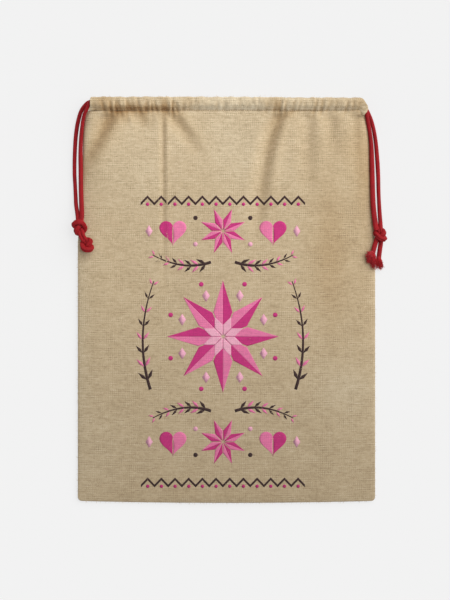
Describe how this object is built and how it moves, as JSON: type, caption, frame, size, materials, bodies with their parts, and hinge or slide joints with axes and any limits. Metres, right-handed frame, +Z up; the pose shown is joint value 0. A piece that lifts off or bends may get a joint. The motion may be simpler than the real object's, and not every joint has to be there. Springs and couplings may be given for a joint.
{
  "type": "drawstring sack",
  "caption": "Flat jute gift sack with sewn side and bottom seams, a gathered hem tunnel round the mouth, and knotted red braided drawstrings at both corners.",
  "frame": {"origin": "middle of the flat sack's bounding box, on the floor under its back panel", "axes": "+X to the right across the sack, +Y from the bottom seam up to the mouth, +Z up out of the front panel"},
  "size_m": [0.5284, 0.682, 0.0266],
  "materials": {
    "jute_cloth": "coarse plain weave with slubs, matte",
    "seam_thread": "overlocked cloth edge, matte",
    "red_cord": "soft braided cord, slight sheen"
  },
  "bodies": {
    "sack": {"back_panel": "jute_cloth", "front_panel": "jute_cloth", "back_hem": "jute_cloth", "front_hem": "jute_cloth", "bottom_seam": "seam_thread", "left_side_seam": "seam_thread", "right_side_seam": "seam_thread", "left_cord_far_loop": "red_cord", "right_cord_far_loop": "red_cord"},
    "left_drawstring": {"left_cord_front_run": "red_cord", "left_cord_back_run": "red_cord"},
    "right_drawstring": {"right_cord_front_run": "red_cord", "right_cord_back_run": "red_cord"},
    "left_cord_end": {"left_inner_strand": "red_cord", "left_outer_strand": "red_cord", "left_knot": "red_cord", "left_tail": "red_cord", "left_end_knot": "red_cord"},
    "right_cord_end": {"right_inner_strand": "red_cord", "right_outer_strand": "red_cord", "right_knot": "red_cord", "right_inner_tail": "red_cord", "right_outer_tail": "red_cord", "right_inner_fray": "red_cord", "right_outer_fray": "red_cord"}
  },
  "joints": [
    {"name": "left_drawstring_pull", "type": "slide", "parent": "sack", "child": "left_drawstring", "axis": [-1, 0, 0], "range_m": [0, 0.4]},
    {"name": "right_drawstring_pull", "type": "slide", "parent": "sack", "child": "right_drawstring", "axis": [1, 0, 0], "range_m": [0, 0.4]},
    {"name": "left_cord_swing", "type": "hinge", "parent": "left_drawstring", "child": "left_cord_end", "pos_m": [-0.2318, 0.3344, 0.0125], "axis": [0, 0, 1], "range_deg": [-110, 0]},
    {"name": "right_cord_swing", "type": "hinge", "parent": "right_drawstring", "child": "right_cord_end", "pos_m": [0.2318, 0.3264, 0.0125], "axis": [0, 0, 1], "range_deg": [0, 110]}
  ]
}
